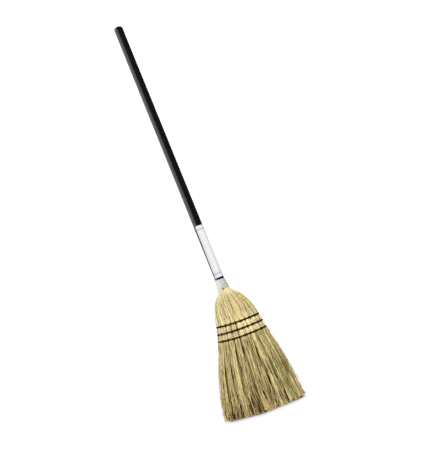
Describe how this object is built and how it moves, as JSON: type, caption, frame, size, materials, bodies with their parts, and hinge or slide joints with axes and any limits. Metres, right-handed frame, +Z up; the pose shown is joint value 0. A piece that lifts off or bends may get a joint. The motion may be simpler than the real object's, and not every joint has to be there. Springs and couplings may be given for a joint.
{
  "type": "corn broom",
  "caption": "Upright lobby broom: glossy black dowel handle with a blank paper label, wire-bound neck and a sewn flat head of straw-coloured broom corn that fans out to the tips.",
  "frame": {"origin": "middle of the bristle tips' outline, on the floor that the broom stands on", "axes": "+Z up along the handle, +X to the right of the front face, the sewn front face towards -Y"},
  "size_m": [0.1824, 0.0558, 0.965],
  "materials": {
    "stained_wood": "glossy black lacquer",
    "label_paper": "satin coated paper",
    "tinned_wire": "tinned steel wire",
    "nail_steel": "dull steel",
    "broom_corn": "dry straw",
    "sewing_twine": "waxed brown twine"
  },
  "bodies": {
    "root": {"handle": "stained_wood", "label": "label_paper", "binding_wire": "tinned_wire", "neck_nail": "nail_steel", "front_inside_corn": "broom_corn", "back_inside_corn": "broom_corn", "left_shoulder_corn": "broom_corn", "right_shoulder_corn": "broom_corn", "front_hurl_1": "broom_corn", "back_hurl_1": "broom_corn", "front_hurl_2": "broom_corn", "back_hurl_2": "broom_corn", "front_hurl_3": "broom_corn", "back_hurl_3": "broom_corn", "front_hurl_4": "broom_corn", "back_hurl_4": "broom_corn", "front_hurl_5": "broom_corn", "back_hurl_5": "broom_corn", "front_hurl_6": "broom_corn", "back_hurl_6": "broom_corn", "front_hurl_7": "broom_corn", "back_hurl_7": "broom_corn", "sewing_band_1": "sewing_twine", "sewing_band_2": "sewing_twine", "sewing_band_3": "sewing_twine", "stitches_1": "sewing_twine", "stitches_2": "sewing_twine", "stitches_3": "sewing_twine"}
  },
  "joints": []
}
